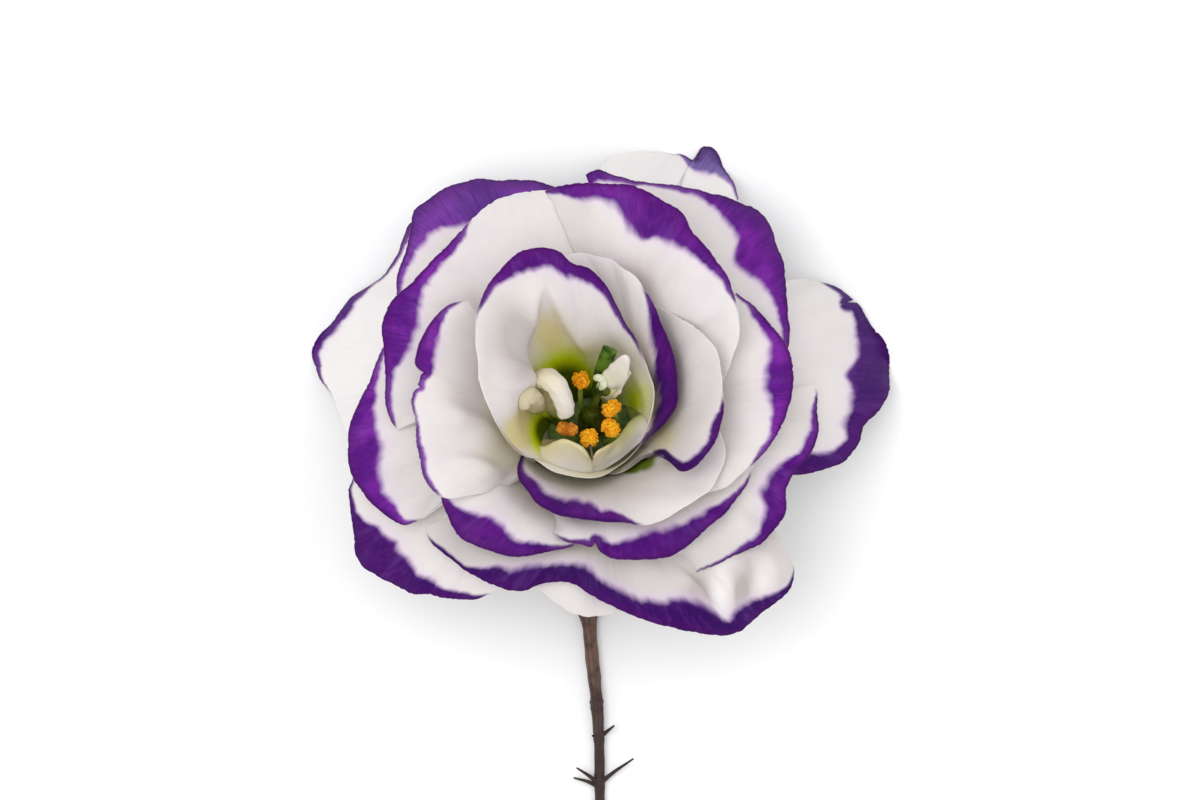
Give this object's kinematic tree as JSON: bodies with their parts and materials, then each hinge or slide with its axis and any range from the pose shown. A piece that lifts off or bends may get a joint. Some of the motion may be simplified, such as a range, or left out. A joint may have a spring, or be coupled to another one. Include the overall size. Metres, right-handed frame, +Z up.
{
  "type": "lisianthus flower",
  "caption": "Cut double lisianthus bloom, white with ragged violet margins, lying face up on its thin woody stem.",
  "frame": {"origin": "centre of the bounding box's bottom, on the surface that the flower lies on", "axes": "+Z up from the surface; the stem lies along the surface towards -Y and the bloom faces up, its axis leaning towards +Y"},
  "size_m": [0.0756, 0.1112, 0.0407],
  "materials": {
    "petal": "matte",
    "petaloid": "matte",
    "dark_green": "matte",
    "fresh_green": "matte",
    "pollen": "matte",
    "bark": "matte"
  },
  "bodies": {
    "root": {"inner_petal_top": "petal", "inner_petal_right": "petal", "inner_petal_lower_right": "petal", "inner_petal_bottom": "petal", "inner_petal_left": "petal", "middle_petal_lower_left": "petal", "middle_petal_bottom": "petal", "middle_petal_right": "petal", "middle_petal_top": "petal", "middle_petal_left": "petal", "outer_petal_upper_left": "petal", "guard_petal_left": "petal", "outer_petal_left": "petal", "outer_petal_lower_left": "petal", "outer_petal_bottom": "petal", "outer_petal_right": "petal", "guard_petal_right": "petal", "outer_petal_upper_right": "petal", "guard_petal_top": "petal", "guard_petal_bottom": "petal", "petaloid_arched": "petaloid", "petaloid_curled": "petaloid", "petaloid_right": "petaloid", "lip_petal_left": "petaloid", "lip_petal_right": "petaloid", "green_leaflet": "dark_green", "stamen_1": "pollen", "stamen_2": "pollen", "stamen_3": "pollen", "stamen_4": "pollen", "stamen_5": "pollen", "pistil": "dark_green", "calyx": "fresh_green", "stem": "bark"}
  },
  "joints": []
}
